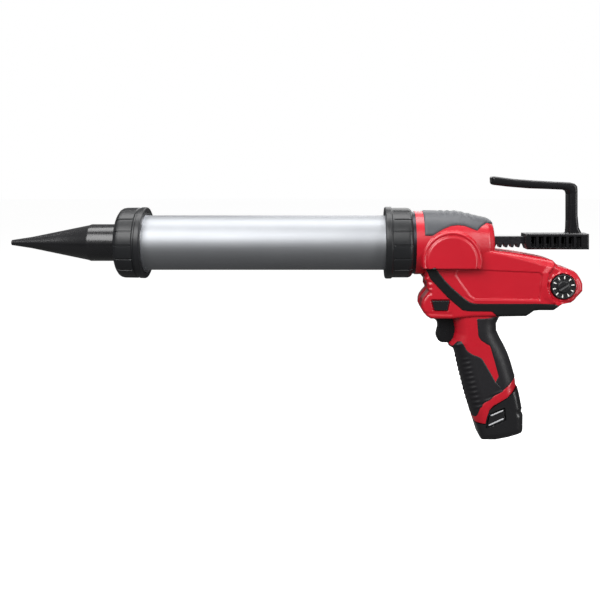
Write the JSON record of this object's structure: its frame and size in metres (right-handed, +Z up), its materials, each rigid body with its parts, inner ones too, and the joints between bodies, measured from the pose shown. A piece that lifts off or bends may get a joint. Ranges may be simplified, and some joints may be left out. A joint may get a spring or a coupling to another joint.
{
  "type": "cordless caulking gun",
  "caption": "Battery-driven caulking gun with an aluminium sausage barrel, screw-on nozzle, toothed plunger rod with pull handle, and pistol grip.",
  "frame": {"origin": "on the barrel's axis at the casing's front face, where the barrel's neck seats", "axes": "+X along the barrel towards the pull handle, -X towards the nozzle, +Z up, the gear bulge on the -Y side"},
  "size_m": [0.603, 0.0752, 0.2717],
  "materials": {
    "black_plastic": "fine satin moulded black plastic",
    "barrel_aluminium": "drawn satin aluminium",
    "machined_aluminium": "turned aluminium",
    "seal_rubber": "smooth black seal rubber",
    "rack_steel": "black oxide on steel",
    "bright_steel": "machined steel",
    "red_plastic": "semi-gloss red moulded plastic",
    "grip_rubber": "black overmoulded rubber",
    "grey_rubber": "dark grey overmoulded rubber with a soft sheen",
    "gloss_black": "gloss black plastic",
    "dial_plastic": "black plastic with white dial marks",
    "gear_plastic": "glass-filled nylon",
    "magnet": "sintered ferrite",
    "bronze": "sintered bronze",
    "circuit": "green circuit board",
    "cell_wrap": "shrink-wrapped cells",
    "contact": "tinned brass contacts"
  },
  "bodies": {
    "gun": {"barrel_tube": "barrel_aluminium", "front_thread_ring": "machined_aluminium", "rear_flange_ring": "machined_aluminium", "rear_gasket": "seal_rubber", "front_neck": "machined_aluminium", "rack_guide": "bronze", "neck_screws": "bright_steel", "gear_case": "gear_plastic", "shaft_bushes": "bronze", "worm_bearings": "bronze", "ring_gear": "bright_steel", "motor_can": "bright_steel", "motor_end_bell": "gear_plastic", "motor_magnets": "magnet", "motor_bearings": "bronze", "left_housing": "red_plastic", "right_housing": "red_plastic", "top_grip": "grey_rubber", "handle_front_grip": "grip_rubber", "handle_rear_grip": "grip_rubber", "left_band": "grip_rubber", "right_band": "grip_rubber", "housing_screws": "bright_steel", "trigger_switch": "gear_plastic", "trigger_spring": "bright_steel", "speed_potentiometer": "gear_plastic", "control_board": "circuit", "terminal_block": "gear_plastic"},
    "plunger": {"rack_rod": "rack_steel", "piston_disc": "black_plastic", "piston_seal": "seal_rubber", "piston_bolt": "bright_steel", "pull_handle": "black_plastic", "pull_handle_screws": "bright_steel"},
    "drive_shaft_body": {"drive_shaft": "bright_steel", "drive_pinion": "bright_steel"},
    "clutch_gear_body": {"clutch_gear": "bright_steel"},
    "lay_shaft_body": {"lay_shaft": "bright_steel", "worm_wheel": "bronze"},
    "rotor": {"motor_rotor": "bright_steel", "sun_gear": "bright_steel"},
    "carrier": {"planet_carrier": "bright_steel", "worm": "bright_steel"},
    "planet_1": {"planet_gear_1": "bright_steel"},
    "planet_2": {"planet_gear_2": "bright_steel"},
    "planet_3": {"planet_gear_3": "bright_steel"},
    "trigger_body": {"trigger": "black_plastic"},
    "lock_button_body": {"lock_button": "gloss_black"},
    "speed_dial_body": {"speed_dial": "dial_plastic"},
    "battery": {"battery_case": "gloss_black", "battery_cells": "cell_wrap", "battery_terminals": "contact"},
    "latch_left_body": {"latch_left": "gloss_black"},
    "latch_right_body": {"latch_right": "gloss_black"},
    "nozzle_body": {"nozzle": "black_plastic", "nozzle_gasket": "seal_rubber"},
    "front_cap_body": {"front_cap": "black_plastic"},
    "slip_washer_body": {"collar_slip_washer": "bright_steel"},
    "rear_collar_body": {"rear_collar": "black_plastic"}
  },
  "joints": [
    {"name": "plunger_slide", "type": "slide", "parent": "gun", "child": "plunger", "axis": [1, 0, 0], "range_m": [-0.03, 0.245]},
    {"name": "drive_shaft_spin", "type": "hinge", "parent": "gun", "child": "drive_shaft_body", "pos_m": [0.037, 0, -0.017], "axis": [0, 1, 0], "range_deg": [-128, 1004]},
    {"name": "motor_spin", "type": "hinge", "parent": "gun", "child": "rotor", "pos_m": [0.1, 0, -0.03718], "axis": [1, 0, 0], "continuous": true},
    {"name": "carrier_spin", "type": "hinge", "parent": "gun", "child": "carrier", "pos_m": [0.088, 0, -0.03718], "axis": [1, 0, 0], "continuous": true},
    {"name": "planet_1_spin", "type": "hinge", "parent": "carrier", "child": "planet_1", "pos_m": [0.094, 0, -0.02773], "axis": [1, 0, 0], "continuous": true},
    {"name": "planet_2_spin", "type": "hinge", "parent": "carrier", "child": "planet_2", "pos_m": [0.094, -0.00818, -0.0419], "axis": [1, 0, 0], "continuous": true},
    {"name": "planet_3_spin", "type": "hinge", "parent": "carrier", "child": "planet_3", "pos_m": [0.094, 0.00818, -0.0419], "axis": [1, 0, 0], "continuous": true},
    {"name": "lay_shaft_spin", "type": "hinge", "parent": "gun", "child": "lay_shaft_body", "pos_m": [0.069, 0, -0.02268], "axis": [0, 1, 0], "continuous": true},
    {"name": "clutch_gear_spin", "type": "hinge", "parent": "gun", "child": "clutch_gear_body", "pos_m": [0.037, -0.015, -0.017], "axis": [0, 1, 0], "continuous": true},
    {"name": "trigger_pull", "type": "slide", "parent": "gun", "child": "trigger_body", "axis": [1, 0, 0], "range_m": [0, 0.006], "stiffness_N_per_m": 600, "springref_m": -0.004, "deforming": ["trigger_spring"]},
    {"name": "lock_button_slide", "type": "slide", "parent": "gun", "child": "lock_button_body", "axis": [0, 1, 0], "range_m": [-0.0024, 0.0024]},
    {"name": "speed_dial_turn", "type": "hinge", "parent": "gun", "child": "speed_dial_body", "pos_m": [0.151, -0.02, -0.043], "axis": [0, -1, 0], "range_deg": [-140, 140]},
    {"name": "battery_slide", "type": "slide", "parent": "gun", "child": "battery", "axis": [0.2419, 0, -0.9703], "range_m": [0, 0.085]},
    {"name": "latch_left_press", "type": "slide", "parent": "battery", "child": "latch_left_body", "axis": [0, 1, 0], "range_m": [0, 0.002], "stiffness_N_per_m": 900, "springref_m": -0.002},
    {"name": "latch_right_press", "type": "slide", "parent": "battery", "child": "latch_right_body", "axis": [0, -1, 0], "range_m": [0, 0.002], "stiffness_N_per_m": 900, "springref_m": -0.002},
    {"name": "nozzle_slide", "type": "slide", "parent": "gun", "child": "nozzle_body", "axis": [-1, 0, 0], "range_m": [0, 0.021]},
    {"name": "front_cap_turn", "type": "hinge", "parent": "nozzle_body", "child": "front_cap_body", "pos_m": [-0.29, 0, 0], "axis": [-1, 0, 0], "range_deg": [0, 2519]},
    {"name": "slip_washer_slide", "type": "slide", "parent": "gun", "child": "slip_washer_body", "axis": [-1, 0, 0], "range_m": [0, 0.012]},
    {"name": "rear_collar_turn", "type": "hinge", "parent": "slip_washer_body", "child": "rear_collar_body", "pos_m": [-0.015, 0, 0], "axis": [-1, 0, 0], "range_deg": [0, 1439]}
  ],
  "couplings": [
    {"joint": "drive_shaft_spin", "follows": "plunger_slide", "rad_per_m": 71.429},
    {"joint": "carrier_spin", "follows": "motor_spin", "ratio": 0.22222},
    {"joint": "lay_shaft_spin", "follows": "motor_spin", "ratio": 0.011111},
    {"joint": "clutch_gear_spin", "follows": "motor_spin", "ratio": -0.0027778},
    {"joint": "nozzle_slide", "follows": "front_cap_turn", "m_per_rad": 0.00047746},
    {"joint": "slip_washer_slide", "follows": "rear_collar_turn", "m_per_rad": 0.00047746},
    {"joint": "planet_1_spin", "follows": "motor_spin", "ratio": -0.62222},
    {"joint": "planet_2_spin", "follows": "motor_spin", "ratio": -0.62222},
    {"joint": "planet_3_spin", "follows": "motor_spin", "ratio": -0.62222}
  ]
}
